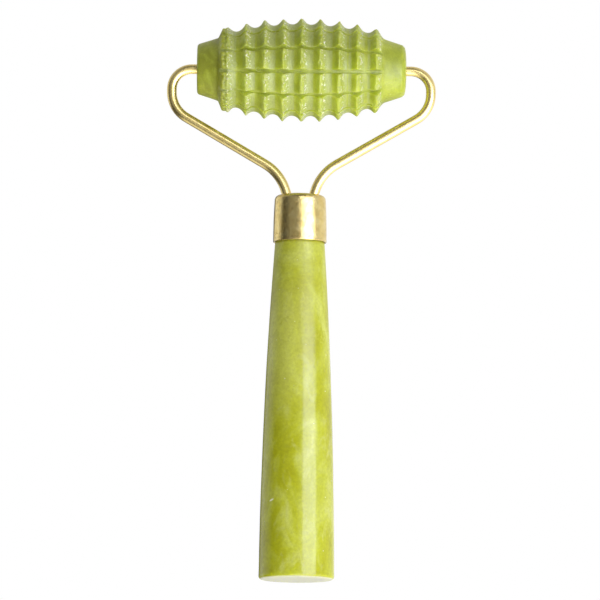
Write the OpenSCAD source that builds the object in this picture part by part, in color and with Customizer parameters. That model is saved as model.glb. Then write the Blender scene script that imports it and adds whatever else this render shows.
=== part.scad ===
// Jade face roller: a carved stone roller that turns on the ends of a bent brass wire,
// which is potted in the top of a tapered stone handle under a brass ferrule.
// Millimetres. Origin at the centre of the handle's flat end, +Z up the handle to the roller,
// roller axis along X. The front of the roller faces -Y.

/* [Handle] */
// Length of stone that shows below the ferrule
handle_length = 87; // [70:1:110]
// Diameter at the flat end
handle_end_d = 19.4; // [17:0.1:24]
// Diameter half way up the part that shows
handle_middle_d = 17.4; // [15:0.1:19]
// Diameter where the handle meets the ferrule
handle_neck_d = 12.7; // [12.4:0.1:13.2]
// Rounding of the edge round the flat end
handle_edge_r = 0.9; // [0.3:0.1:2]
// Diameter of the ground seat inside the ferrule
seat_d = 12.3; // [11.5:0.1:12.4]
// Depth of the blind bore in the top of the stone
bore_depth = 20.4; // [14:0.1:30]
// Diameter of that bore
bore_d = 9.3; // [9.2:0.1:9.4]

/* [Ferrule] */
// Height of the ferrule
ferrule_height = 12.2; // [9:0.1:16]
// Outer diameter at its open lower end
ferrule_low_d = 13.75; // [13.4:0.05:15]
// Outer diameter at its shoulder
ferrule_top_d = 13.2; // [12.8:0.05:13.6]
// Radius of the rounded shoulder
ferrule_shoulder_r = 1.3; // [0.8:0.1:1.5]
// Thickness of its top
ferrule_top_t = 0.8; // [0.6:0.1:1.2]
// Width of the slot that the wire comes out of
slot_w = 2.8; // [2.7:0.1:3.5]
// Length of that slot
slot_length = 9.8; // [9.7:0.1:10]

/* [Wire frame] */
// Diameter of the wire
wire_d = 2.5; // [2.2:0.1:2.6]
// Distance from the middle to the centre of the wire at its widest
frame_half_w = 33.4; // [32:0.1:38]
// Angle of the straight arms above horizontal
arm_angle = 30.3; // [26:0.1:34]
// Angle of the legs above horizontal where they leave the ferrule
leg_angle = 72; // [68:1:76]
// Distance from the middle to the centre of each leg at the top of the ferrule
leg_offset = 3.4; // [3.3:0.05:3.5]
// Length of straight leg above the ferrule
leg_length = 1.6; // [1:0.1:5]
// Bend radius where the legs turn out into the arms
neck_r = 12; // [11.5:0.1:13]
// Bend radius at the outer end of each arm
elbow_r = 7.6; // [5:0.1:9]
// Bend radius where the wire turns in to the roller
shoulder_r = 5.2; // [4.6:0.1:6]
// Length of axle pin inside the roller
pin_length = 7; // [5:0.1:9]

/* [Roller] */
// Length of the roller
roller_length = 54; // [50:1:56]
// Diameter over the teeth at the middle
roller_d = 26.7; // [24:0.1:30]
// Radius of the barrel curve that the teeth follow
barrel_r = 74; // [65:1:120]
// Number of rings of teeth, an odd number
ring_count = 9; // [7:2:9]
// Distance from ring to ring
ring_pitch = 4.88; // [4.5:0.01:5]
// Depth of the rounded valleys between rings
valley_depth = 1.55; // [1:0.05:2]
// Width of the crest that the valleys leave
crest_w = 0.35; // [0.2:0.05:0.8]
// Number of lengthwise grooves
groove_count = 12; // [8:1:16]
// Depth of the grooves
groove_depth = 1.75; // [1:0.05:2.2]
// Width of the grooves at the tips of the teeth
groove_w = 1.6; // [1:0.1:2.4]
// Width of the bottom of the grooves
groove_floor_w = 0.7; // [0.4:0.1:1]
// Angle of one groove below the front of the roller
groove_phase = 10.6; // [0:0.1:30]
// Large diameter of the plain end cones
hub_d = 16.2; // [15:0.1:17]
// Small diameter of the plain end cones
hub_end_d = 13; // [11:0.1:15]
// Chamfer round each end face
hub_chamfer = 0.45; // [0.2:0.05:0.8]
// Distance from the last ring of teeth to the end cone
flank_w = 2.1; // [1.8:0.1:2.4]

/* [Bushes] */
// Diameter of the bore through the roller
roller_bore_d = 4; // [3.6:0.1:5]
// Gap all round between the axle pin and its bush
pin_clearance = 0.05; // [0.02:0.01:0.1]
// Length of each bush
bush_length = 8; // [6:0.5:10]
// How far each bush sits below the end face
bush_recess = 0.3; // [0.1:0.1:1]

/* [Hidden] */

jade = [0.68, 0.74, 0.25];
pale_jade = [0.72, 0.78, 0.38];
gold = [0.83, 0.69, 0.38];
nylon = [0.93, 0.91, 0.84];
resin = [0.80, 0.74, 0.52];

$fn = 64;
cut = 0.5; // how far a cutting shape runs past what it cuts

// Radius of the arc over a chord whose half length and rise are given
function arc_radius(half_chord, rise) = (half_chord * half_chord + rise * rise) / (2 * rise);

// Points along a shallow arc from a to b, which bulges to the right of that direction by rise
function shallow_arc(a, b, rise, steps) =
    let (run = b - a, out = [run.y, -run.x] / norm(run))
    [for (i = [0 : steps]) let (t = i / steps) a + run * t + out * 4 * rise * t * (1 - t)];

// Handle: the side is one long arc through the three diameters
handle_rise = handle_middle_d / 2 - (handle_end_d + handle_neck_d) / 4;
ferrule_top = handle_length + ferrule_height;
stone_top = ferrule_top - ferrule_top_t;
bore_floor = stone_top - bore_depth;
seat_chamfer = 0.6;

// Ferrule: the side is a shallow arc, and the lower rim is broken by a small chamfer
ferrule_side_h = ferrule_height - ferrule_shoulder_r;
ferrule_rise = (ferrule_low_d - ferrule_top_d) / 8;
ferrule_rim = 0.15;
epoxy_sink = 0.25; // how far the epoxy sits below the top of the ferrule

// Wire: one bending list, from the tip of the left axle pin to the tip of the right one.
// A step is [length] for a straight or [radius, turn] for a bend, with a left turn positive.
leg_x = leg_offset - neck_r * (1 - cos(90 - leg_angle));
u_bend_z = bore_floor + 0.6 + wire_d / 2; // centre of the wire at the lowest point of the U-bend
root_rise = neck_r * sin(90 - leg_angle);
buried_leg = ferrule_top - root_rise - u_bend_z - leg_x;
arm_start_x = leg_offset + leg_length * cos(leg_angle) + neck_r * (sin(leg_angle) - sin(arm_angle));
arm_end_x = frame_half_w - elbow_r * (1 - sin(arm_angle));
arm_length = (arm_end_x - arm_start_x) / cos(arm_angle);
bend_gap = 0.86; // straight between the elbow and the shoulder
bend_slack = 0.04; // how much thinner the wire is in a bend than in a straight
lap = 0.1; // how far a straight runs into the bend beside it
pin_chamfer = 0.3;
pin_end_x = roller_length / 2 - pin_length;
pin_straight = frame_half_w - shoulder_r - pin_end_x;
half_list = [
    [pin_straight],
    [shoulder_r, 90],
    [bend_gap],
    [elbow_r, 90 - arm_angle],
    [arm_length],
    [neck_r, arm_angle - leg_angle],
    [leg_length],
    [neck_r, leg_angle - 90],
    [buried_leg]
];
last = len(half_list) - 1;
bending_list = concat(half_list, [[leg_x, 180]], [for (i = [0 : last]) half_list[last - i]]);
axis_z = ferrule_top
    + leg_length * sin(leg_angle)
    + neck_r * (cos(arm_angle) - cos(leg_angle))
    + arm_length * sin(arm_angle)
    + elbow_r * cos(arm_angle)
    + bend_gap
    + shoulder_r;

// Roller
half_length = roller_length / 2;
last_ring_x = (ring_count - 1) / 2 * ring_pitch;
hub_start_x = last_ring_x + flank_w;
arc_centre_r = roller_d / 2 - barrel_r; // where the barrel curve is centred, measured out from the axis
function tip_r(x) = arc_centre_r + sqrt(barrel_r * barrel_r - x * x);
valley_r = arc_radius((ring_pitch - crest_w) / 2, valley_depth);
flank_r = 4;
flank_sink = 0.1; // how far the flank's curve dips under the start of the end cone
bush_d = wire_d + 2 * pin_clearance;

// Straight wire with one chamfered tip, starting with the tip at the origin and running along +X
module tipped_wire(length) {
    rotate([0, 90, 0])
        rotate_extrude()
            polygon([
                [0, 0],
                [wire_d / 2 - pin_chamfer, 0],
                [wire_d / 2, pin_chamfer],
                [wire_d / 2, length],
                [0, length]
            ]);
}

// Wire bent by the steps of a list, starting at the origin along +X and turning in the XZ plane
module bent_wire(steps, i = 0) {
    if (i < len(steps)) {
        if (len(steps[i]) == 1) {
            length = steps[i][0];
            if (i == 0) tipped_wire(length + lap);
            else if (i == len(steps) - 1) translate([length, 0, 0]) rotate([0, 0, 180]) tipped_wire(length + lap);
            else translate([-lap, 0, 0]) rotate([0, 90, 0]) cylinder(d = wire_d, h = length + 2 * lap);
            translate([length, 0, 0]) bent_wire(steps, i + 1);
        } else {
            radius = steps[i][0];
            turn = steps[i][1];
            translate([0, 0, sign(turn) * radius])
                rotate([90, 0, 0])
                    rotate([0, 0, turn > 0 ? -90 : 90 + turn])
                        rotate_extrude(angle = abs(turn), $fn = 180)
                            translate([radius, 0]) circle(d = wire_d - bend_slack, $fn = 48);
            translate([0, 0, sign(turn) * radius])
                rotate([0, -turn, 0])
                    translate([0, 0, -sign(turn) * radius])
                        bent_wire(steps, i + 1);
        }
    }
}

module wire_frame() {
    color(gold)
        translate([-pin_end_x, 0, axis_z]) rotate([0, 180, 0]) bent_wire(bending_list);
}

// The slot in the top of the ferrule, as a tall solid with round ends
module slot_solid(bottom, top) {
    translate([0, 0, bottom]) {
        for (side = [-1, 1])
            translate([side * (slot_length - slot_w) / 2, 0, 0])
                cylinder(d = slot_w, h = top - bottom);
        translate([-(slot_length - slot_w) / 2, -slot_w / 2, 0])
            cube([slot_length - slot_w, slot_w, top - bottom]);
    }
}

// Outline of the handle from its axis outwards
module handle_profile() {
    side = shallow_arc([handle_end_d / 2, 0], [handle_neck_d / 2, handle_length], handle_rise, 16);
    difference() {
        polygon(concat([[0, 0]], side, [
            [seat_d / 2, handle_length],
            [seat_d / 2, stone_top - seat_chamfer],
            [seat_d / 2 - seat_chamfer, stone_top],
            [0, stone_top]
        ]));
        translate([handle_end_d / 2 - handle_edge_r, 0]) edge_cut(handle_edge_r);
    }
}

// What rounding an outer corner by a radius takes away, for a corner at [radius, 0]
module edge_cut(radius) {
    difference() {
        translate([0, -cut]) square([radius + cut, radius + cut]);
        translate([0, radius]) circle(r = radius);
    }
}

module handle_stone() {
    color(jade)
        difference() {
            rotate_extrude($fn = 128) handle_profile();
            translate([0, 0, bore_floor]) cylinder(d = bore_d, h = bore_depth + cut);
        }
}

// Outline of the ferrule's outside, from its axis outwards
module ferrule_profile() {
    side = shallow_arc(
        [ferrule_low_d / 2, ferrule_rim],
        [ferrule_top_d / 2, ferrule_side_h],
        ferrule_rise, 6
    );
    polygon(concat([[0, 0], [ferrule_low_d / 2 - ferrule_rim, 0]], side, [[0, ferrule_side_h]]));
    translate([0, ferrule_side_h])
        square([ferrule_top_d / 2 - ferrule_shoulder_r, ferrule_shoulder_r]);
    intersection() {
        translate([ferrule_top_d / 2 - ferrule_shoulder_r, ferrule_side_h]) circle(r = ferrule_shoulder_r);
        translate([ferrule_top_d / 2 - ferrule_shoulder_r, ferrule_side_h]) square(ferrule_shoulder_r);
    }
}

module ferrule() {
    color(gold)
        difference() {
            translate([0, 0, handle_length]) rotate_extrude($fn = 128) ferrule_profile();
            rotate_extrude($fn = 128)
                polygon([
                    [0, handle_length - cut],
                    [seat_d / 2, handle_length - cut],
                    [seat_d / 2, stone_top - seat_chamfer],
                    [seat_d / 2 - seat_chamfer, stone_top],
                    [0, stone_top]
                ]);
            slot_solid(stone_top - cut, ferrule_top + cut);
        }
}

module epoxy_potting() {
    color(resin)
        difference() {
            union() {
                translate([0, 0, bore_floor]) cylinder(d = bore_d, h = bore_depth);
                slot_solid(stone_top, ferrule_top - epoxy_sink);
            }
            wire_frame();
        }
}

// Outline of the roller from its axis outwards, with the axis upright
module roller_profile() {
    difference() {
        intersection() {
            translate([arc_centre_r, 0]) circle(r = barrel_r, $fn = 720);
            translate([0, -hub_start_x]) square([roller_d, 2 * hub_start_x]);
        }
        for (gap = [0 : ring_count - 2]) {
            y = (gap - (ring_count - 2) / 2) * ring_pitch;
            translate([tip_r(y) - valley_depth + valley_r, y]) circle(r = valley_r);
        }
        flank_cut();
        mirror([0, 1]) flank_cut();
    }
    polygon([
        [0, -half_length],
        [hub_end_d / 2 - hub_chamfer, -half_length],
        [hub_end_d / 2, hub_chamfer - half_length],
        [hub_d / 2, -hub_start_x],
        [hub_d / 2, hub_start_x],
        [hub_end_d / 2, half_length - hub_chamfer],
        [hub_end_d / 2 - hub_chamfer, half_length],
        [0, half_length]
    ]);
}

// The hollow flank between the last ring of teeth and the end cone
module flank_cut() {
    crest = [tip_r(last_ring_x), last_ring_x + crest_w / 2];
    foot = [hub_d / 2 - flank_sink, hub_start_x];
    half = norm(foot - crest) / 2;
    outwards = [(foot - crest).y, (crest - foot).x] / (2 * half);
    centre = (crest + foot) / 2 + outwards * sqrt(flank_r * flank_r - half * half);
    translate(centre) circle(r = flank_r);
}

// One lengthwise groove cutter, which follows the barrel curve, on the side of the roller that faces +Z
module groove_cut() {
    reach = asin((hub_start_x + cut) / (barrel_r - groove_depth));
    floor_r = barrel_r - groove_depth;
    outer_r = barrel_r + cut;
    outer_w = groove_w + (groove_w - groove_floor_w) * cut / groove_depth;
    translate([0, 0, arc_centre_r])
        rotate([90, 0, 0])
            rotate([0, 0, 90 - reach])
                rotate_extrude(angle = 2 * reach, $fn = 720)
                    polygon([
                        [floor_r, -groove_floor_w / 2],
                        [outer_r, -outer_w / 2],
                        [outer_r, outer_w / 2],
                        [floor_r, groove_floor_w / 2]
                    ]);
}

module roller_stone() {
    color(pale_jade)
        translate([0, 0, axis_z])
            difference() {
                rotate([0, 90, 0]) rotate_extrude($fn = 128) roller_profile();
                for (i = [0 : groove_count - 1])
                    rotate([90 + groove_phase + i * 360 / groove_count, 0, 0]) groove_cut();
                rotate([0, 90, 0])
                    cylinder(d = roller_bore_d, h = roller_length + 2 * cut, center = true);
            }
}

// A bush in the right end of the roller
module bush() {
    color(nylon)
        translate([half_length - bush_recess - bush_length, 0, axis_z])
            rotate([0, 90, 0])
                difference() {
                    cylinder(d = roller_bore_d, h = bush_length);
                    translate([0, 0, -cut]) cylinder(d = bush_d, h = bush_length + 2 * cut);
                }
}

module left_bush() {
    mirror([1, 0, 0]) bush();
}

module right_bush() {
    bush();
}

handle_stone();
ferrule();
epoxy_potting();
wire_frame();
roller_stone();
left_bush();
right_bush();
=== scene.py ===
"""Jade face roller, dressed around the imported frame.

+Z is up the handle, the roller's axle lies along X and the camera is on the -Y side. The pieces are worked
out in millimetres, and mesh_piece makes them in metres. The camera, lights and floor are placed in metres.
"""

import math

import bpy
import numpy as np
from mathutils import Matrix, Vector, noise


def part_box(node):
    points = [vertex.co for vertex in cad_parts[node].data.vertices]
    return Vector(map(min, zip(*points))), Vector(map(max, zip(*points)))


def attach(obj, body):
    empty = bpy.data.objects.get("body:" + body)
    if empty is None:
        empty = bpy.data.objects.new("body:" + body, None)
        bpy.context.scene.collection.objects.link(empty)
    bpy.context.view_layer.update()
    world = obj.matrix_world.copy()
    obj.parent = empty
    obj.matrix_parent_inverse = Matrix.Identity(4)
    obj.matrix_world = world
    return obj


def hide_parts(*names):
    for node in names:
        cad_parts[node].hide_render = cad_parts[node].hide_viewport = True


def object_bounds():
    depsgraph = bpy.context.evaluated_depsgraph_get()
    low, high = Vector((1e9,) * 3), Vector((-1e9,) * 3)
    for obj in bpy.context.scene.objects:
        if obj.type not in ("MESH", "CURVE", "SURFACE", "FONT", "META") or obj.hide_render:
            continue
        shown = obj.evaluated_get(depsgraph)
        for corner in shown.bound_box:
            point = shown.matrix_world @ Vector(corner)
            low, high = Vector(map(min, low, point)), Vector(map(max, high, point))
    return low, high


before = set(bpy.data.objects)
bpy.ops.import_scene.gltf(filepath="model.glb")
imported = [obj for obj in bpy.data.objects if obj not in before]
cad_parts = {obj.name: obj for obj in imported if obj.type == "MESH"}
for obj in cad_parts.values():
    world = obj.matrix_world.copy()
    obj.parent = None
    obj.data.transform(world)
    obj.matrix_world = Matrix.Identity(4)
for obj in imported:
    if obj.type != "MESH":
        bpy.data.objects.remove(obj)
cad_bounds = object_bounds()

MM = 0.001

# The corners of the CAD's boxes, in millimetres. The sizes within each box, below, repeat the CAD's.
HANDLE_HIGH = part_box("handle_stone")[1] / MM
FERRULE_LOW, FERRULE_HIGH = (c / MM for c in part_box("ferrule"))
ROLLER_LOW, ROLLER_HIGH = (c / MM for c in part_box("roller_stone"))
WIRE_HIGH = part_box("wire_frame")[1] / MM
AXIS_Z = (ROLLER_LOW.z + ROLLER_HIGH.z) / 2
STONE_TOP = HANDLE_HIGH.z
NECK_Z = FERRULE_LOW.z
FERRULE_TOP = FERRULE_HIGH.z


# ---------------------------------------------------------------- mesh tools


def mesh_piece(name, rings, body, material, replaces=(), wrap_rows=False, cap_ends=False):
    """A smooth closed piece from an array of rings of points, in millimetres, of shape (rings, points, 3)."""
    rows, columns, _ = rings.shape
    last = rows if wrap_rows else rows - 1
    i, j = np.meshgrid(np.arange(last), np.arange(columns), indexing="ij")
    below, above, beside = i * columns, (i + 1) % rows * columns, (j + 1) % columns
    quads = np.stack([below + j, below + beside, above + beside, above + j], axis=-1).reshape(-1, 4)
    points = rings.reshape(-1, 3) * MM
    faces = quads.tolist()
    if cap_ends:
        faces.append(list(range(columns))[::-1])
        faces.append(list(range((rows - 1) * columns, rows * columns)))
    a, b, c, d = (points[quads[:, k]] for k in range(4))
    volume = (a * np.cross(b, c)).sum() + (a * np.cross(c, d)).sum()
    if volume < 0:
        faces = [f[::-1] for f in faces]
    mesh = bpy.data.meshes.new(name)
    mesh.from_pydata(points.tolist(), [], faces)
    mesh.shade_smooth()
    mesh.materials.append(material)
    piece = bpy.data.objects.new(name, mesh)
    bpy.context.scene.collection.objects.link(piece)
    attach(piece, body)
    if replaces:
        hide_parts(*replaces)
    return piece


def point_values(piece, name, values):
    """Stores one number a vertex, for the piece's material to read."""
    layer = piece.data.attributes.new(name, "FLOAT", "POINT")
    layer.data.foreach_set("value", np.asarray(values, np.float32).ravel())


def lathe(outline, steps):
    """Rings round the Z axis from (radius, height) pairs."""
    radius, height = np.array(outline, float).T
    turn = np.linspace(0, 2 * np.pi, steps, endpoint=False)
    return np.stack(
        [
            radius[:, None] * np.cos(turn),
            radius[:, None] * np.sin(turn),
            np.repeat(height[:, None], steps, axis=1),
        ],
        axis=-1,
    )


def arc(centre, radius, start, end, steps):
    """Points on an arc in the (radius, height) plane, with angles in degrees."""
    angles = np.radians(np.linspace(start, end, steps))
    return [(centre[0] + radius * math.cos(a), centre[1] + radius * math.sin(a)) for a in angles]


def shallow_arc(a, b, rise, steps):
    """Points from a to b on a shallow arc that bulges outwards by rise."""
    a, b = np.array(a), np.array(b)
    run = b - a
    out = np.array([run[1], -run[0]]) / np.linalg.norm(run)
    return [tuple(a + run * t + out * 4 * rise * t * (1 - t)) for t in np.linspace(0, 1, steps)]


def waves(points, size, seed):
    """Smooth noise from -1 to 1 at each point, with lumps about size millimetres across."""
    shift = Vector((seed * 17.3, seed * 5.1, seed * 9.7))
    flat = points.reshape(-1, 3) / size
    values = [noise.noise(Vector(p) + shift) for p in flat.tolist()]
    return np.array(values).reshape(points.shape[:-1])


# ------------------------------------------------------------ material tools


def add_node(tree, kind, settings=None, inputs=None):
    """Adds a node. Its inputs are other nodes' sockets, which are linked, or plain values."""
    node = tree.nodes.new(kind)
    for key, value in (settings or {}).items():
        setattr(node, key, value)
    for key, value in (inputs or {}).items():
        if isinstance(value, bpy.types.NodeSocket):
            tree.links.new(value, node.inputs[key])
        else:
            node.inputs[key].default_value = value
    return node


def fill_ramp(node, stops):
    """Gives a colour ramp its stops, which are pairs of (position, (red, green, blue))."""
    elements = node.color_ramp.elements
    while len(elements) < len(stops):
        elements.new(0.5)
    for element, (position, colour) in zip(elements, stops):
        element.position = position
        element.color = (*colour, 1)


class Shader:
    """A material's node tree, with short ways to add to it."""

    def __init__(self, name):
        self.material = bpy.data.materials.new(name)
        self.material.use_nodes = True
        self.tree = self.material.node_tree
        self.tree.nodes.clear()
        coordinates = self.add("ShaderNodeTexCoord").outputs["Object"]
        scaled = self.add("ShaderNodeVectorMath", {"operation": "SCALE"}, {0: coordinates, "Scale": 1 / MM})
        self.mm = scaled.outputs[0]  # the place on the piece, in millimetres

    def add(self, kind, settings=None, inputs=None):
        return add_node(self.tree, kind, settings, inputs)

    def mapped(self, scale=(1, 1, 1), turn=(0, 0, 0)):
        """The place on the piece, stretched and turned. Angles are in degrees."""
        inputs = {"Vector": self.mm, "Scale": scale, "Rotation": [math.radians(t) for t in turn]}
        return self.add("ShaderNodeMapping", None, inputs).outputs[0]

    def noise(self, size, detail=3.0, rough=0.5, distortion=0.0, vector=None):
        """Noise from 0 to 1 with lumps about size millimetres across."""
        inputs = {
            "Vector": vector or self.mm,
            "Scale": 1 / size,
            "Detail": detail,
            "Roughness": rough,
            "Distortion": distortion,
        }
        return self.add("ShaderNodeTexNoise", None, inputs).outputs["Fac"]

    def cells(self, size):
        """Cells about size millimetres across, as (distance from a cell's middle, the cell's own number)."""
        node = self.add("ShaderNodeTexVoronoi", None, {"Vector": self.mm, "Scale": 1 / size})
        number = self.add("ShaderNodeSeparateColor", None, {0: node.outputs["Color"]}).outputs[0]
        return node.outputs["Distance"], number

    def spot(self, centre, radii, turn=(0, 0, 0)):
        """Distance from a place in millimetres, as a share of an ellipsoid's radii."""
        angles = [math.radians(t) for t in turn]
        inputs = {"Vector": self.mm, "Location": centre, "Scale": radii, "Rotation": angles}
        local = self.add("ShaderNodeMapping", {"vector_type": "TEXTURE"}, inputs).outputs[0]
        return self.add("ShaderNodeVectorMath", {"operation": "LENGTH"}, {0: local}).outputs["Value"]

    def axis(self, index):
        """Distance along X, Y or Z, in millimetres."""
        return self.add("ShaderNodeSeparateXYZ", None, {0: self.mm}).outputs[index]

    def attribute(self, name):
        return self.add("ShaderNodeAttribute", {"attribute_name": name}).outputs["Fac"]

    def math(self, operation, a, b=0.0):
        return self.add("ShaderNodeMath", {"operation": operation}, {0: a, 1: b}).outputs[0]

    def span(self, value, low, high, to_low=0.0, to_high=1.0):
        """Maps value from low..high to to_low..to_high with soft ends."""
        inputs = {"Value": value, "From Min": low, "From Max": high, "To Min": to_low, "To Max": to_high}
        return self.add("ShaderNodeMapRange", {"interpolation_type": "SMOOTHSTEP"}, inputs).outputs[0]

    def ramp(self, value, *stops):
        """A colour ramp with stops of (position, (red, green, blue))."""
        node = self.add("ShaderNodeValToRGB", None, {"Fac": value})
        fill_ramp(node, stops)
        return node.outputs["Color"]

    def shaded(self, colour, value, low, high):
        """A colour times a grey that goes from (value, grey) at low to (value, grey) at high."""
        greys = self.ramp(value, (low[0], (low[1],) * 3), (high[0], (high[1],) * 3))
        return self.mix(1.0, colour, greys, "MULTIPLY")

    def mix(self, amount, a, b, blend="MIX"):
        """Mixes two colours."""
        node = self.add("ShaderNodeMix", {"data_type": "RGBA", "blend_type": blend}, {0: amount})
        for key, value in ((6, a), (7, b)):
            if isinstance(value, bpy.types.NodeSocket):
                self.tree.links.new(value, node.inputs[key])
            else:
                node.inputs[key].default_value = (*value, 1)
        return node.outputs[2]

    def bump(self, height, depth, normal=None):
        """A bump whose height, from 0 to 1, stands for depth millimetres."""
        inputs = {"Height": height, "Distance": depth * MM, "Strength": 1.0}
        if normal is not None:
            inputs["Normal"] = normal
        return self.add("ShaderNodeBump", None, inputs).outputs[0]

    def finish(self, **inputs):
        """Ends the tree in a Principled shader. Underscores in a name stand for spaces."""
        named = {key.replace("_", " "): value for key, value in inputs.items()}
        shader = self.add("ShaderNodeBsdfPrincipled", None, named)
        self.add("ShaderNodeOutputMaterial", None, {"Surface": shader.outputs[0]})
        return self.material


# ------------------------------------------------------------------ materials


def handle_jade():
    """Polished yellow-green stone with cloudy patches, a sugary grain, white specks and a sawn flat end."""
    s = Shader("polished_jade")
    slanted = s.mapped(scale=(1, 1, 0.7), turn=(12, 34, 0))
    clouds = s.noise(8.5, detail=4, rough=0.55, distortion=0.8, vector=slanted)
    colour = s.ramp(
        clouds,
        (0.34, (0.395, 0.405, 0.006)),
        (0.48, (0.445, 0.470, 0.014)),
        (0.57, (0.495, 0.530, 0.045)),
        (0.70, (0.570, 0.605, 0.130)),
    )
    # A broad lighter patch up the left of the front, and a darker, deeper green one low on its right
    lighter_patch = s.span(s.spot((-3.5, -6, 60), (7, 8, 22)), 0.25, 1.15, 0.6, 0)
    colour = s.mix(lighter_patch, colour, (0.62, 0.66, 0.15))
    clear = s.span(s.spot((5, -7, 23), (8, 8, 16)), 0.3, 1.1, 0.35, 0)
    colour = s.mix(clear, colour, (0.40, 0.43, 0.02))
    along_veins = s.mapped(scale=(1, 1, 0.5), turn=(0, 38, 20))
    veins = s.noise(3.6, detail=3, rough=0.55, distortion=1.0, vector=along_veins)
    colour = s.mix(s.span(veins, 0.54, 0.74, 0, 0.5), colour, (0.60, 0.63, 0.19))
    colour = s.shaded(colour, s.noise(0.75, detail=3, rough=0.65), (0.3, 0.86), (0.7, 1.12))
    distance, number = s.cells(2.4)
    speck = s.math("MULTIPLY", s.span(distance, 0.035, 0.08, 1, 0), s.math("GREATER_THAN", number, 0.45))
    nick = s.span(s.spot((-6.5, -6.7, 19.8), (0.75, 0.8, 0.22), (0, -28, 0)), 0.6, 1.2, 1, 0)
    marks = s.math("MAXIMUM", s.math("MULTIPLY", speck, 0.8), nick)
    colour = s.mix(marks, colour, (0.88, 0.90, 0.66))
    saw_lines = s.noise(0.3, detail=3, rough=0.6, vector=s.mapped(scale=(0.3, 2.5, 1), turn=(0, 0, 25)))
    sawn = s.span(s.axis(2), 0.05, 0.4, 1, 0)
    sawn_colour = s.ramp(saw_lines, (0.3, (0.60, 0.60, 0.44)), (0.7, (0.74, 0.74, 0.58)))
    colour = s.mix(sawn, colour, sawn_colour)
    polish = s.noise(3.0, detail=4, rough=0.6)
    ripples = s.noise(7.5, detail=2, rough=0.4, vector=s.mapped(scale=(1, 1, 0.5)))
    pores = s.noise(0.35, detail=3, rough=0.6)
    normal = s.bump(pores, 0.005, s.bump(ripples, 0.05))
    normal = s.bump(s.math("MULTIPLY", saw_lines, sawn), 0.03, normal)
    dull = s.math("ADD", s.math("MULTIPLY", sawn, 0.4), s.span(s.axis(2), 45, 82, 0, 0.25))
    rough = s.math("ADD", s.span(polish, 0.3, 0.7, 0.11, 0.19), dull)
    return s.finish(
        Base_Color=colour,
        Roughness=rough,
        Normal=normal,
        IOR=1.5,
        Subsurface_Weight=0.6,
        Subsurface_Radius=(1.0, 1.05, 0.4),
        Subsurface_Scale=0.0035,
    )


def roller_jade():
    """Ground stone: deep green on each tooth's left as painted shade, frosted on its right with painted
    light, with whitish chips that also stand as painted glints, and round pits.
    """
    s = Shader("ground_jade")
    flank, edge = s.attribute("flank"), s.attribute("edge")
    clouds = s.noise(6, detail=4, rough=0.58, distortion=0.9)
    # Deep green stone colour, which on each tooth's left side stands as painted shade
    clear = s.ramp(
        clouds,
        (0.33, (0.37, 0.43, 0.012)),
        (0.50, (0.46, 0.53, 0.024)),
        (0.66, (0.54, 0.61, 0.062)),
    )
    dark_end = s.math("MULTIPLY", s.span(s.axis(0), -21, -17.5, 1, 0), s.span(clouds, 0.62, 0.40, 0.35, 1))
    clear = s.mix(s.math("MULTIPLY", dark_end, 0.8), clear, (0.31, 0.33, 0.004))
    scratches = s.noise(0.5, detail=5, rough=0.7, vector=s.mapped(scale=(3.0, 0.35, 0.35)))
    blotches = s.noise(1.5, detail=4, rough=0.65)
    unevenness = s.math("MULTIPLY", s.math("SUBTRACT", blotches, 0.5), 1.5)
    # Painted light: frost is strongest on each tooth's right side and valley, standing for the key light's
    # sheen and lifting the valley's shade, and absent on the left side, left deep green as painted shade
    frost_and_painted_light = s.span(s.math("ADD", flank, unevenness), 0.1, 1.1, 0.06, 0.68)
    frost_and_sheen_colour = s.ramp(scratches, (0.3, (0.40, 0.47, 0.12)), (0.7, (0.55, 0.61, 0.27)))
    colour = s.mix(frost_and_painted_light, clear, frost_and_sheen_colour)
    colour = s.shaded(colour, scratches, (0.3, 0.92), (0.7, 1.07))
    grain = s.noise(0.4, detail=4, rough=0.7)
    colour = s.shaded(colour, grain, (0.25, 0.84), (0.75, 1.12))
    # Painted glints and chips: whitish flecks just right of each crest, where the key light catches the teeth
    sparks = s.span(s.noise(0.75, detail=4, rough=0.7), 0.54, 0.62)
    chips_and_glints = s.math("MULTIPLY", sparks, s.span(edge, 0.2, 0.9))
    colour = s.mix(s.math("MULTIPLY", chips_and_glints, 0.9), colour, (0.94, 0.96, 0.80))
    distance, number = s.cells(3.4)
    from_rim = s.math("ABSOLUTE", s.math("SUBTRACT", distance, 0.17))
    rim = s.math("MULTIPLY", s.span(from_rim, 0.012, 0.035, 1, 0), s.math("GREATER_THAN", number, 0.72))
    colour = s.mix(s.math("MULTIPLY", rim, 0.35), colour, (0.62, 0.68, 0.34))
    normal = s.bump(grain, 0.06, s.bump(scratches, 0.06))
    normal = s.bump(s.math("SUBTRACT", chips_and_glints, rim), 0.06, normal)
    rough = s.span(blotches, 0.3, 0.7, 0.32, 0.55)
    return s.finish(
        Base_Color=colour,
        Roughness=s.math("SUBTRACT", rough, s.math("MULTIPLY", chips_and_glints, 0.2)),
        Normal=normal,
        IOR=1.6,
        Subsurface_Weight=0.85,
        Subsurface_Radius=(0.9, 1.0, 0.35),
        Subsurface_Scale=0.0032,
    )


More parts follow.
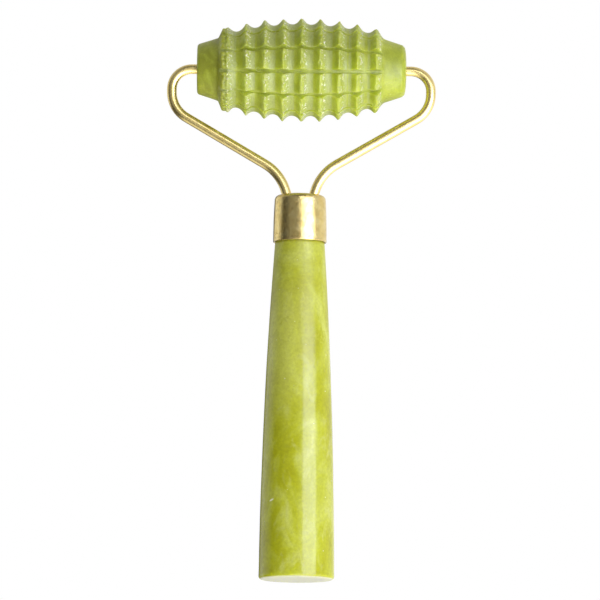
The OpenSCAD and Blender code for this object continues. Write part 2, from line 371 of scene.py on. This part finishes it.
def ferrule_brass():
    """Bright pressed brass with rubbed patches, tiny dents and dull pits."""
    s = Shader("polished_brass")
    tarnish = s.noise(2.2, detail=5, rough=0.65, distortion=0.5)
    colour = s.ramp(
        tarnish,
        (0.30, (0.70, 0.525, 0.175)),
        (0.55, (0.80, 0.645, 0.275)),
        (0.80, (0.84, 0.705, 0.360)),
    )
    rubs = s.noise(0.28, detail=4, rough=0.7, vector=s.mapped(scale=(1, 1, 2.2)))
    patches = s.noise(1.6, detail=3, rough=0.6)
    worn = s.math("MULTIPLY", s.span(patches, 0.45, 0.62), s.span(rubs, 0.35, 0.65))
    pits = s.span(s.noise(0.42, detail=3, rough=0.65), 0.56, 0.66)
    colour = s.mix(s.math("MULTIPLY", pits, 0.45), colour, (0.30, 0.21, 0.06))
    dents = s.noise(1.1, detail=3, rough=0.55)
    normal = s.bump(rubs, 0.030, s.bump(dents, 0.045))
    normal = s.bump(pits, -0.02, normal)
    return s.finish(
        Base_Color=colour,
        Metallic=1.0,
        Roughness=s.math("ADD", 0.10, s.math("MULTIPLY", worn, 0.16)),
        Normal=normal,
    )


def wire_brass():
    """Drawn brass wire with a satin grain."""
    s = Shader("satin_brass")
    tone = s.noise(3.0, detail=4, rough=0.6)
    colour = s.ramp(tone, (0.3, (0.84, 0.66, 0.24)), (0.7, (0.95, 0.79, 0.36)))
    grain = s.noise(0.16, detail=3, rough=0.65)
    pits = s.noise(0.5, detail=4, rough=0.7)
    normal = s.bump(grain, 0.012, s.bump(pits, 0.010))
    return s.finish(
        Base_Color=colour,
        Metallic=1.0,
        Roughness=s.span(pits, 0.3, 0.7, 0.24, 0.36),
        Normal=normal,
    )


def potting_resin():
    """Amber epoxy, cloudy with fine bubbles."""
    s = Shader("potting_resin")
    cloud = s.noise(1.2, detail=4, rough=0.6)
    distance, _ = s.cells(0.6)
    bubbles = s.span(distance, 0.1, 0.3)
    colour = s.ramp(cloud, (0.3, (0.45, 0.36, 0.15)), (0.7, (0.62, 0.54, 0.28)))
    return s.finish(
        Base_Color=colour,
        Roughness=s.span(cloud, 0.3, 0.7, 0.18, 0.35),
        Normal=s.bump(bubbles, 0.03),
        IOR=1.55,
    )


def bush_nylon():
    """Off-white nylon with turning marks and a little brass dust."""
    s = Shader("bush_nylon")
    marks = s.noise(0.25, detail=3, rough=0.6, vector=s.mapped(scale=(4, 0.6, 0.6)))
    dust = s.noise(0.9, detail=4, rough=0.7)
    colour = s.ramp(dust, (0.4, (0.78, 0.76, 0.68)), (0.75, (0.55, 0.50, 0.38)))
    return s.finish(
        Base_Color=colour,
        Roughness=s.span(marks, 0.3, 0.7, 0.40, 0.55),
        Normal=s.bump(marks, 0.01),
        IOR=1.53,
    )


# --------------------------------------------------------------- handle stone

END_R = HANDLE_HIGH.x
NECK_R = 6.35
MIDDLE_R = 8.7
EDGE_R = 0.9
SEAT_R = 6.15
SEAT_CHAMFER = 0.6
BORE_R = 4.65
BORE_FLOOR = STONE_TOP - 20.4
PINHOLE_R = 0.02  # radius of the small face that closes each end of the outline
LUMP, SMALL_LUMP = 0.05, 0.012  # heights of the unevenness that hand grinding leaves


def make_handle():
    """The turned stone, from the middle of its flat end up its side, over its top and down its bore."""
    rise = MIDDLE_R - (END_R + NECK_R) / 2
    side = [p for p in shallow_arc((END_R, 0), (NECK_R, NECK_Z), rise, 120) if p[1] > EDGE_R]
    face = [(r, 0.0) for r in np.linspace(PINHOLE_R, END_R - EDGE_R, 16)[:-1]]
    outline = (
        face
        + arc((END_R - EDGE_R, EDGE_R), EDGE_R, -90, 0, 10)
        + side
        + [(SEAT_R, NECK_Z), (SEAT_R, STONE_TOP - SEAT_CHAMFER), (SEAT_R - SEAT_CHAMFER, STONE_TOP)]
        + [(BORE_R, STONE_TOP), (BORE_R, BORE_FLOOR), (PINHOLE_R, BORE_FLOOR)]
    )
    rings = lathe(outline, 240)
    height = rings[..., 2]
    worked = np.clip((NECK_Z - height) / 4, 0, 1) * np.clip(height / 3, 0, 1)
    lumps = LUMP * waves(rings, 13, 1) + SMALL_LUMP * waves(rings, 4, 2)
    rings[..., :2] *= 1 + (worked * lumps / END_R)[..., None]
    material = handle_jade()
    return mesh_piece(
        "handle_stone_polished", rings, "handle", material, ["handle_stone"], cap_ends=True
    )


# --------------------------------------------------------------------- ferrule

FERRULE_LOW_R = FERRULE_HIGH.x
FERRULE_TOP_R = 6.6
SHOULDER_R = 1.3
RIM = 0.15
SLOT_HALF = 3.5  # half the distance between the slot's end centres
SLOT_R = 1.4
SLOT_CHAMFER = 0.06
GAP = 0.01  # between the ferrule and the stone inside it
DENT = 0.03


def slot_reach(turn):
    """Distance from the axis to the edge of the slot in each direction."""
    c, s = np.abs(np.cos(turn)), np.abs(np.sin(turn))
    flat = SLOT_R / np.maximum(s, 1e-9)
    round_end = SLOT_HALF * c + np.sqrt(np.maximum(SLOT_R**2 - (SLOT_HALF * s) ** 2, 0))
    return np.where(flat * c <= SLOT_HALF, flat, round_end)


def make_ferrule():
    """The pressed cup, from its lower rim up and over to the slot in its top, and back down inside."""
    side_top = FERRULE_TOP - SHOULDER_R
    rise = (FERRULE_LOW_R - FERRULE_TOP_R) / 4
    outside = (
        [(SEAT_R + GAP, NECK_Z), (FERRULE_LOW_R - RIM, NECK_Z)]
        + arc((FERRULE_LOW_R - RIM, NECK_Z + RIM), RIM, -80, 0, 4)
        + shallow_arc((FERRULE_LOW_R, NECK_Z + 2 * RIM), (FERRULE_TOP_R, side_top), rise, 24)
        + arc((FERRULE_TOP_R - SHOULDER_R, side_top), SHOULDER_R, 6, 90, 12)
    )
    inside = [
        (SEAT_R - SEAT_CHAMFER, STONE_TOP + GAP),
        (SEAT_R + GAP, STONE_TOP - SEAT_CHAMFER),
    ]
    steps = 240
    turn = np.linspace(0, 2 * np.pi, steps, endpoint=False)
    reach = slot_reach(turn)
    start = FERRULE_TOP_R - SHOULDER_R
    crown = [(start + (reach - start) * share, FERRULE_TOP) for share in (0.35, 0.7, 0.97)]
    crown += [(reach, FERRULE_TOP - SLOT_CHAMFER), (reach, STONE_TOP + GAP)]
    flat = [np.stack([r * np.cos(turn), r * np.sin(turn), np.full(steps, z)], axis=-1) for r, z in crown]
    rings = np.concatenate([lathe(outside, steps), np.stack(flat), lathe(inside, steps)])
    height, radius = rings[..., 2], np.hypot(rings[..., 0], rings[..., 1])
    wall = np.clip((radius - SEAT_R - 0.2) / 0.3, 0, 1)
    rings[..., :2] *= 1 + (wall * DENT * waves(rings, 4.5, 3) / FERRULE_TOP_R)[..., None]
    return mesh_piece(
        "ferrule_pressed", rings, "handle", ferrule_brass(), ["ferrule"], wrap_rows=True
    )


# ------------------------------------------------------------------ wire frame

WIRE_R = 1.25
PIN_END_X = 20.0
PIN_CHAMFER = 0.3
SHOULDER_BEND, ELBOW_BEND, NECK_BEND = 5.2, 7.6, 12.0
ARM_ANGLE, LEG_ANGLE = 30.3, 72.0
LEG_LENGTH = 1.6
LEG_OFFSET = 3.4
BEND_GAP = 0.86
FLOOR_GAP = 0.6  # between the U-bend and the floor of the handle's bore
STRAIGHT_STEP, BEND_STEP = 0.8, 4  # millimetres and degrees from ring to ring


def wire_steps():
    """The wire's bending list, from the left pin to the right.

    A straight is (length,), and a bend is (radius, turn in degrees).
    """
    half_w = WIRE_HIGH.x - WIRE_R
    arm_angle, leg_angle = math.radians(ARM_ANGLE), math.radians(LEG_ANGLE)
    leg_x = LEG_OFFSET - NECK_BEND * (1 - math.sin(leg_angle))
    leg_reach = LEG_LENGTH * math.cos(leg_angle) + NECK_BEND * (math.sin(leg_angle) - math.sin(arm_angle))
    arm_end = half_w - ELBOW_BEND * (1 - math.sin(arm_angle))
    arm = (arm_end - (LEG_OFFSET + leg_reach)) / math.cos(arm_angle)
    root = NECK_BEND * math.cos(leg_angle)
    buried = FERRULE_TOP - root - (BORE_FLOOR + FLOOR_GAP + WIRE_R) - leg_x
    half = [
        (half_w - SHOULDER_BEND - PIN_END_X,),
        (SHOULDER_BEND, 90),
        (BEND_GAP,),
        (ELBOW_BEND, 90 - ARM_ANGLE),
        (arm,),
        (NECK_BEND, ARM_ANGLE - LEG_ANGLE),
        (LEG_LENGTH,),
        (NECK_BEND, LEG_ANGLE - 90),
        (buried,),
    ]
    return half + [(leg_x, 180)] + half[::-1]


def wire_line():
    """Points along the wire's centre in the XZ plane, with the heading at each, in radians."""
    place, heading = np.array([-PIN_END_X, AXIS_Z]), math.pi
    line = [(*place, heading)]
    for step in wire_steps():
        if len(step) == 1:
            count = max(2, int(step[0] / STRAIGHT_STEP))
            forward = np.array([math.cos(heading), math.sin(heading)])
            line += [(*(place + forward * step[0] * t), heading) for t in np.linspace(0, 1, count + 1)[1:]]
            place = place + forward * step[0]
        else:
            radius, turn = step[0], math.radians(step[1])
            left = np.array([-math.sin(heading), math.cos(heading)]) * math.copysign(1, turn)
            centre = place + left * radius
            count = max(6, int(abs(step[1]) / BEND_STEP))
            for t in np.linspace(0, turn, count + 1)[1:]:
                away = np.array([math.sin(heading + t), -math.cos(heading + t)]) * math.copysign(1, turn)
                line.append((*(centre + away * radius), heading + t))
            heading += turn
            place = np.array(line[-1][:2])
    return np.array(line)


def make_wire():
    """The bent wire, with a chamfer at each tip."""
    line = wire_line()
    chamfer = np.array([PIN_CHAMFER, 0, 0])  # the tips point along X
    line = np.concatenate([line[:1], line[:1] - chamfer, line[1:-1], line[-1:] + chamfer, line[-1:]])
    radius = np.full(len(line), WIRE_R)
    radius[[0, -1]] -= PIN_CHAMFER
    around = np.linspace(0, 2 * np.pi, 40, endpoint=False)
    heading = line[:, 2][:, None]
    across, depth = radius[:, None] * np.cos(around), radius[:, None] * np.sin(around)
    rings = np.stack(
        [
            line[:, 0][:, None] - np.sin(heading) * across,
            depth,
            line[:, 1][:, None] + np.cos(heading) * across,
        ],
        axis=-1,
    )
    return mesh_piece(
        "wire_frame_bent", rings, "handle", wire_brass(), ["wire_frame"], cap_ends=True
    )


# ---------------------------------------------------------------- roller stone

HALF_LENGTH = ROLLER_HIGH.x
TIP_R = 13.35
BARREL_R = 74.0
RINGS = 9
PITCH = 4.88
VALLEY_DEPTH = 1.55
CREST_W = 0.35
GROOVES = 12
GROOVE_DEPTH = 1.75
GROOVE_HALF, FLOOR_HALF = 0.8, 0.35
GROOVE_PHASE = 10.6
HUB_R, HUB_END_R, HUB_CHAMFER = 8.1, 6.5, 0.45
FLANK_W, FLANK_R = 2.1, 4.0
ROLLER_BORE_R = 2.0

LAST_RING_X = (RINGS - 1) / 2 * PITCH
HUB_START_X = LAST_RING_X + FLANK_W

# What hand grinding does to that plan
KEEN_BLUR, WORN_BLUR = 0.20, 0.44  # rounding of the keenest teeth and of the most worn ones
VALLEY_FILL = 0.30  # how much shallower the valleys are
COLLAR_X, COLLAR_SLOPE = -20.5, 2.4  # the left ring is a broad band, which falls away to the left of this
FADE_X, FADE_LENGTH, FADE = -16.5, 2.5, 0.55  # the grooves fade towards the left ring
LIP_BLEND = 0.16  # rounding where a groove's wall meets the top of a tooth
TOOTH_SPREAD = 0.30  # how far a tooth's crest is from its place, outwards and along
CHIP_DEPTH = 0.9
WAVE_HEIGHT = 0.05
LEFT_DOME, RIGHT_DOME = 0.05, 0.45  # how far the end faces' rims lie back
BUSH_DEPTH, MOUTH_CHAMFER = 6.0, 0.12


def tip_radius(x):
    """Radius of the barrel curve that the tips of the teeth follow."""
    return TIP_R - BARREL_R + np.sqrt(BARREL_R**2 - x**2)


def roller_profile(x):
    """Radius over the middle of a tooth, at each distance x from the middle of the roller."""
    x = np.abs(x)
    half = (PITCH - CREST_W) / 2
    valley_r = (half**2 + VALLEY_DEPTH**2) / (2 * VALLEY_DEPTH)
    middle = (np.floor(x / PITCH) + 0.5) * PITCH
    off = np.clip(np.abs(x - middle), 0, half)
    valley = tip_radius(middle) - VALLEY_DEPTH + valley_r - np.sqrt(valley_r**2 - off**2)
    teeth = np.minimum(valley, tip_radius(np.minimum(x, HALF_LENGTH)))
    crest = np.array([LAST_RING_X + CREST_W / 2, tip_radius(LAST_RING_X)])
    foot = np.array([HUB_START_X, HUB_R - 0.1])
    chord = foot - crest
    reach = math.sqrt(FLANK_R**2 - (chord @ chord) / 4)
    centre = (crest + foot) / 2 + reach * np.array([-chord[1], chord[0]]) / np.linalg.norm(chord)
    flank = centre[1] - np.sqrt(np.maximum(FLANK_R**2 - (x - centre[0]) ** 2, 0))
    hub = HUB_R + (HUB_END_R - HUB_R) * (x - HUB_START_X) / (HALF_LENGTH - HUB_CHAMFER - HUB_START_X)
    top = np.where(x < crest[0], teeth, np.maximum(flank, hub))
    return np.where(x > HUB_START_X, hub, top)


def soft_min(a, b, blend):
    """The lesser of a and b, rounded where they meet."""
    h = np.clip(0.5 + 0.5 * (b - a) / blend, 0, 1)
    return b * (1 - h) + a * h - blend * h * (1 - h)


def rounded(x, values, width):
    """values along x, blurred over width to round what is sharp."""
    step = x[1] - x[0]
    reach = int(3 * width / step)
    kernel = np.exp(-0.5 * (np.arange(-reach, reach + 1) * step / width) ** 2)
    padded = np.pad(values, reach, mode="edge")
    return np.convolve(padded, kernel / kernel.sum(), mode="valid")


def roller_stations():
    """Distances along the roller with more of them near the crests and edges."""
    stations = []
    for ring in range(RINGS):
        crest = (ring - (RINGS - 1) / 2) * PITCH
        stations += [crest - CREST_W / 2, crest, crest + CREST_W / 2]
        if ring < RINGS - 1:
            half = (PITCH - CREST_W) / 2
            spread = np.sin(np.linspace(-np.pi / 2, np.pi / 2, 19))[1:-1]
            stations += list(crest + PITCH / 2 + half * spread)
    end = LAST_RING_X + CREST_W / 2
    flank = list(np.linspace(end, HUB_START_X, 10)[1:])
    hub = list(np.linspace(HUB_START_X, HALF_LENGTH - HUB_CHAMFER, 12)[1:])
    return np.array([-v for v in (flank + hub)[::-1]] + stations + flank + hub)


def ground_profiles(x):
    """Radius over the middle of a tooth at each station, for the keenest teeth and for the most worn."""
    fine = np.linspace(-HALF_LENGTH, HALF_LENGTH, 5401)
    plan = roller_profile(fine)
    return [np.interp(x, fine, rounded(fine, plan, blur)) for blur in (KEEN_BLUR, WORN_BLUR)]


def groove_sector(x, top, floor):
    """Angles and radii at every station round one groove, out to the middles of the teeth beside it."""
    wall_w = GROOVE_HALF - FLOOR_HALF
    lip = FLOOR_HALF + np.clip((top - floor) / GROOVE_DEPTH, 0.02, 1) * wall_w
    lateral = [np.full(len(x), FLOOR_HALF * share) for share in (0, 0.5, 0.92)]
    lateral += [FLOOR_HALF + (lip - FLOOR_HALF) * share for share in (0, 0.3, 0.6, 0.85, 1)]
    lateral += [lip + past for past in (0.07, 0.16, 0.32)]
    lateral = np.stack(lateral, axis=1)
    wall = floor[:, None] + np.maximum(lateral - FLOOR_HALF, 0) / wall_w * GROOVE_DEPTH
    in_teeth = (np.abs(x) < HUB_START_X)[:, None]
    near = np.where(in_teeth, soft_min(top[:, None], wall, LIP_BLEND), top[:, None])
    near_angle = np.arcsin(lateral / near)
    share = np.linspace(0, 1, 9)[1:]
    far_angle = near_angle[:, -1:] + (math.pi / GROOVES - near_angle[:, -1:]) * share
    far = np.repeat(top[:, None], len(share), 1)
    half_angle = np.concatenate([near_angle, far_angle], axis=1)
    half_radius = np.concatenate([near, far], axis=1)
    angle = np.concatenate([-half_angle[:, :0:-1], half_angle[:, :-1]], axis=1)
    radius = np.concatenate([half_radius[:, :0:-1], half_radius[:, :-1]], axis=1)
    return angle, radius


def end_rings(side, dome, rim, turn):
    """Rings over one end face and into the bore, as (along, radius, angle), where side is -1 or 1."""
    steps = ((1, 0), (0.985, 0.25), (0.955, 0.6), (0.92, 0.85), (0.8, 0.95), (0.6, 1), (0.45, 1))
    out = []
    for share, risen in steps:
        x = HALF_LENGTH - HUB_CHAMFER * (1 - risen) - dome * share**4
        out.append((np.full(len(rim), side * x), rim * share, turn))
    for depth, flare in ((0, MOUTH_CHAMFER), (MOUTH_CHAMFER, 0), (BUSH_DEPTH, 0)):
        place = np.full(len(rim), side * (HALF_LENGTH - depth))
        out.append((place, np.full(len(rim), ROLLER_BORE_R + flare), turn))
    return np.array(out[::side])


def make_roller():
    """The carved roller, as rings from the bore of its left end over the barrel to that of its right end."""
    x = roller_stations()
    keen, worn = ground_profiles(x)
    tip = tip_radius(np.minimum(np.abs(x), HUB_START_X))
    fill = VALLEY_FILL * np.clip(1 - (tip - worn) / VALLEY_DEPTH, 0, 1)
    top = (keen + worn) / 2 + fill * (np.abs(x) < HUB_START_X)
    collar = tip_radius(LAST_RING_X) - 0.15 - COLLAR_SLOPE * np.maximum(COLLAR_X - x, 0)
    top = np.where((x < -LAST_RING_X) & (x > -HUB_START_X), np.maximum(top, collar), top)
    floor = tip - GROOVE_DEPTH * (1 - FADE * np.clip((FADE_X - x) / FADE_LENGTH, 0, 1))

    from_middle, radius = groove_sector(x, top, floor)
    sector = 2 * math.pi / GROOVES
    turns = [math.radians(GROOVE_PHASE) + groove * sector for groove in range(GROOVES)]
    angle = np.concatenate([from_middle + turn for turn in turns], axis=1)
    from_middle, radius = np.tile(from_middle, GROOVES), np.tile(radius, GROOVES)
    groove_floor = np.clip((FLOOR_HALF + 0.25 - np.abs(from_middle) * radius) / 0.2, 0, 1)
    along = np.repeat(x[:, None], angle.shape[1], 1)
    crest = np.clip(1 - (tip[:, None] - radius) / VALLEY_DEPTH, 0, 1) * (np.abs(along) < HUB_START_X)

    # Each tooth differs a little in height, place and keenness, and its edge is chipped
    where = np.stack([along, radius * np.cos(angle), radius * np.sin(angle)], axis=-1)
    per_tooth = where * np.array([0.9, 0.55, 0.55])
    keenness = np.clip(0.9 * waves(per_tooth, 3.0, 9), -0.5, 0.5)
    radius = radius + keenness * (keen - worn)[:, None] * crest
    radius += TOOTH_SPREAD * crest * waves(per_tooth, 3.0, 4) + WAVE_HEIGHT * waves(where, 5, 6)
    on_edge = np.clip((crest - 0.72) / 0.28, 0, 1)
    radius -= CHIP_DEPTH * on_edge * np.clip(waves(where, 0.9, 5) - 0.12, 0, 1)
    along = along + TOOTH_SPREAD * crest * waves(per_tooth, 2.4, 7)
    angle = angle + WAVE_HEIGHT / TIP_R * waves(where, 6, 8) * np.clip(1 - crest, 0.2, 1)

    left = end_rings(-1, LEFT_DOME, radius[0], angle[0])
    right = end_rings(1, RIGHT_DOME, radius[-1], angle[-1])
    barrel = np.stack([along, radius, angle], axis=1)[1:-1]
    place, reach, turn = np.moveaxis(np.concatenate([left, barrel, right]), 1, 0)
    # Angle 0 is at the front (-Y), and it grows downwards
    rings = np.stack([place, -reach * np.cos(turn), AXIS_Z - reach * np.sin(turn)], axis=-1)
    piece = mesh_piece(
        "roller_stone_ground", rings, "roller", roller_jade(), ["roller_stone"], wrap_rows=True
    )

    # Frost covers each tooth's crest and the grooves' floors. The right side and the valley beyond are
    # frosted fully, which also paints the key light's sheen there and lifts the valley's shade, and the left
    # side is left deep green as painted shade.
    # Places across a tooth run from the valley on its left, at -0.5, to the one on its right, at 0.5.
    across = along / PITCH - np.round(along / PITCH)
    places, amounts = (-0.5, -0.42, -0.34, -0.16, -0.08, 0.1, 0.35, 0.5), (1, 0.8, 0, 0, 0.45, 0.55, 1, 1)
    frost_and_painted_light = np.maximum(np.interp(across, places, amounts), 0.75 * groove_floor) * (crest > 0)
    # edge marks where the chips and painted glints go, just right of each crest
    edge = np.exp(-(((across - 0.2) / 0.2) ** 2)) * np.clip(crest / 0.3, 0, 1)
    plain = np.zeros((len(left), crest.shape[1]))
    for name, values in (("flank", frost_and_painted_light), ("edge", edge)):
        point_values(piece, name, np.concatenate([plain, values[1:-1], plain]))
    return piece


# ------------------------------------------------------------ camera and light

CAMERA_DISTANCE = 1.8
CAMERA_ELEVATION = -7.3
CAMERA_ROLL = 0.6
AIM_SHIFT = Vector((0.0002, 0, -0.0005))  # what the camera looks at, from the middle of the object
VIEW_WIDTH = 0.1542  # width of the picture at the object


def direction(azimuth, elevation):
    """Unit vector, with azimuth 0 towards the camera's side (-Y) and growing to the right."""
    a, e = math.radians(azimuth), math.radians(elevation)
    return Vector((math.sin(a) * math.cos(e), -math.cos(a) * math.cos(e), math.sin(e)))


def make_camera(target):
    """A long lens in front, a little below the object and turned a little on its axis."""
    data = bpy.data.cameras.new("camera")
    data.sensor_width = 36
    data.lens = 36 * CAMERA_DISTANCE / VIEW_WIDTH
    data.clip_end = 50
    camera = bpy.data.objects.new("camera", data)
    bpy.context.scene.collection.objects.link(camera)
    back = direction(0, CAMERA_ELEVATION)
    place = Matrix.Translation(target + back * CAMERA_DISTANCE)
    roll = Matrix.Rotation(math.radians(CAMERA_ROLL), 4, "Z")
    camera.matrix_world = place @ back.to_track_quat("Z", "Y").to_matrix().to_4x4() @ roll
    bpy.context.scene.camera = camera


def softbox(name, place, towards, size, radiance, tint=(1, 1, 1), gloss_only=False):
    """A rectangular light of size (width, height), radiance times as bright as the white ground behind."""
    data = bpy.data.lights.new(name, "AREA")
    data.shape = "RECTANGLE"
    data.size, data.size_y = size
    data.energy = radiance * math.pi * size[0] * size[1]
    data.color = tint
    light = bpy.data.objects.new(name, data)
    bpy.context.scene.collection.objects.link(light)
    away = (place - towards).normalized()
    light.matrix_world = Matrix.Translation(place) @ away.to_track_quat("Z", "Y").to_matrix().to_4x4()
    light.visible_camera = False
    light.visible_diffuse = not gloss_only


# Brightness of the surroundings by azimuth, in degrees, from behind the object by its left and its front
LEVEL = (
    (-180, 0.15), (-152, 0.18), (-140, 0.95), (-114, 1), (-96, 0.65), (-84, 0.08), (-60, 0.1), (-50, 0.24),
    (-36, 0.34), (-20, 0.28), (2, 0.34), (8, 1), (60, 1), (68, 0.66), (88, 0.72), (96, 1), (180, 1),
)
BELOW = (
    (-180, 0.5), (-150, 0.25), (-110, 0.08), (-90, 0.05), (-28, 0.05), (-12, 1), (30, 2), (110, 2), (130, 1),
    (180, 0.9),
)
ABOVE = ((-180, 0.8), (-100, 0.5), (-70, 0.32), (-20, 0.22), (20, 0.26), (45, 0.5), (90, 0.7), (180, 0.8))
GROUND = (1.3, 1.28, 1.24, 1)  # straight below
WARMTH = (1, 0.985, 0.95)


def make_world():
    """White to the camera. To all else, white cards and dark flags by compass direction and height."""
    world = bpy.data.worlds.new("studio")
    bpy.context.scene.world = world
    world.use_nodes = True
    tree = world.node_tree
    tree.nodes.clear()
    direction_seen = add_node(tree, "ShaderNodeTexCoord").outputs["Generated"]
    east, north, height = add_node(tree, "ShaderNodeSeparateXYZ", None, {0: direction_seen}).outputs
    front = add_node(tree, "ShaderNodeMath", {"operation": "MULTIPLY"}, {0: north, 1: -1.0}).outputs[0]
    azimuth = add_node(tree, "ShaderNodeMath", {"operation": "ARCTAN2"}, {0: east, 1: front}).outputs[0]
    share = add_node(tree, "ShaderNodeMapRange", None, {0: azimuth, 1: -math.pi, 2: math.pi}).outputs[0]

    def ring(levels):
        node = add_node(tree, "ShaderNodeValToRGB", None, {"Fac": share})
        fill_ramp(node, [((turn + 180) / 360, [level * w for w in WARMTH]) for turn, level in levels])
        return node.outputs[0]

    def blend(start, end, a, b):
        """Goes from a to b as the height, -1 to 1, goes from start to end."""
        smooth = {"interpolation_type": "SMOOTHSTEP"}
        amount = add_node(tree, "ShaderNodeMapRange", smooth, {0: height, 1: start, 2: end}).outputs[0]
        return add_node(tree, "ShaderNodeMix", {"data_type": "RGBA"}, {0: amount, 6: a, 7: b}).outputs[2]

    below = blend(-0.62, -0.88, ring(BELOW), GROUND)
    lower = blend(-0.12, -0.40, ring(LEVEL), below)
    studio = blend(0.28, 0.60, lower, ring(ABOVE))
    to_camera = add_node(tree, "ShaderNodeLightPath").outputs["Is Camera Ray"]
    white = {0: to_camera, 6: studio, 7: (1, 1, 1, 1)}
    seen = add_node(tree, "ShaderNodeMix", {"data_type": "RGBA"}, white).outputs[2]
    background = add_node(tree, "ShaderNodeBackground", None, {"Color": seen}).outputs[0]
    add_node(tree, "ShaderNodeOutputWorld", None, {"Surface": background})


FLOOR_HALF_W, FLOOR_Z = 3.0, -0.34


def make_floor():
    corners = [(x * FLOOR_HALF_W, y * FLOOR_HALF_W, FLOOR_Z) for x, y in ((-1, -1), (1, -1), (1, 1), (-1, 1))]
    mesh = bpy.data.meshes.new("floor")
    mesh.from_pydata(corners, [], [(0, 1, 2, 3)])
    mesh.materials.append(Shader("floor").finish(Base_Color=(0.9, 0.9, 0.9, 1), Roughness=0.9))
    floor = bpy.data.objects.new("floor", mesh)
    bpy.context.scene.collection.objects.link(floor)
    floor.visible_glossy = False  # the stone and brass mirror the studio's cards and boxes instead


def make_lights(middle):
    """A key box on the right with a bluish card that shows only as gloss, and two small boxes."""
    key = direction(39, 0) * 0.42 + Vector((0, 0, -0.02))
    level = Vector((0, 0, key.z))
    softbox("key_softbox", key, level, (0.34, 0.46), 2.6)
    softbox("gloss_strip", key * 0.98, level, (0.33, 0.46), 2.6, tint=(0.45, 0.5, 1), gloss_only=True)
    softbox("arm_card", middle + direction(9, 23) * 0.9, middle, (0.16, 0.16), 5.0, gloss_only=True)
    softbox("low_softbox", middle + direction(28, -58) * 0.34, middle, (0.32, 0.24), 2.2)


# ----------------------------------------------------------------------- scene

bpy.context.scene.view_settings.view_transform = "Standard"
centre = (cad_bounds[0] + cad_bounds[1]) / 2
make_camera(centre + AIM_SHIFT)
make_world()
make_floor()
make_lights(centre)

make_handle()
make_ferrule()
make_wire()
make_roller()

# The epoxy and the bushes keep their CAD shapes
for node, material in (
    ("epoxy_potting", potting_resin()),
    ("left_bush", bush_nylon()),
    ("right_bush", bush_nylon()),
):
    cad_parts[node].data.materials.clear()
    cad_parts[node].data.materials.append(material)
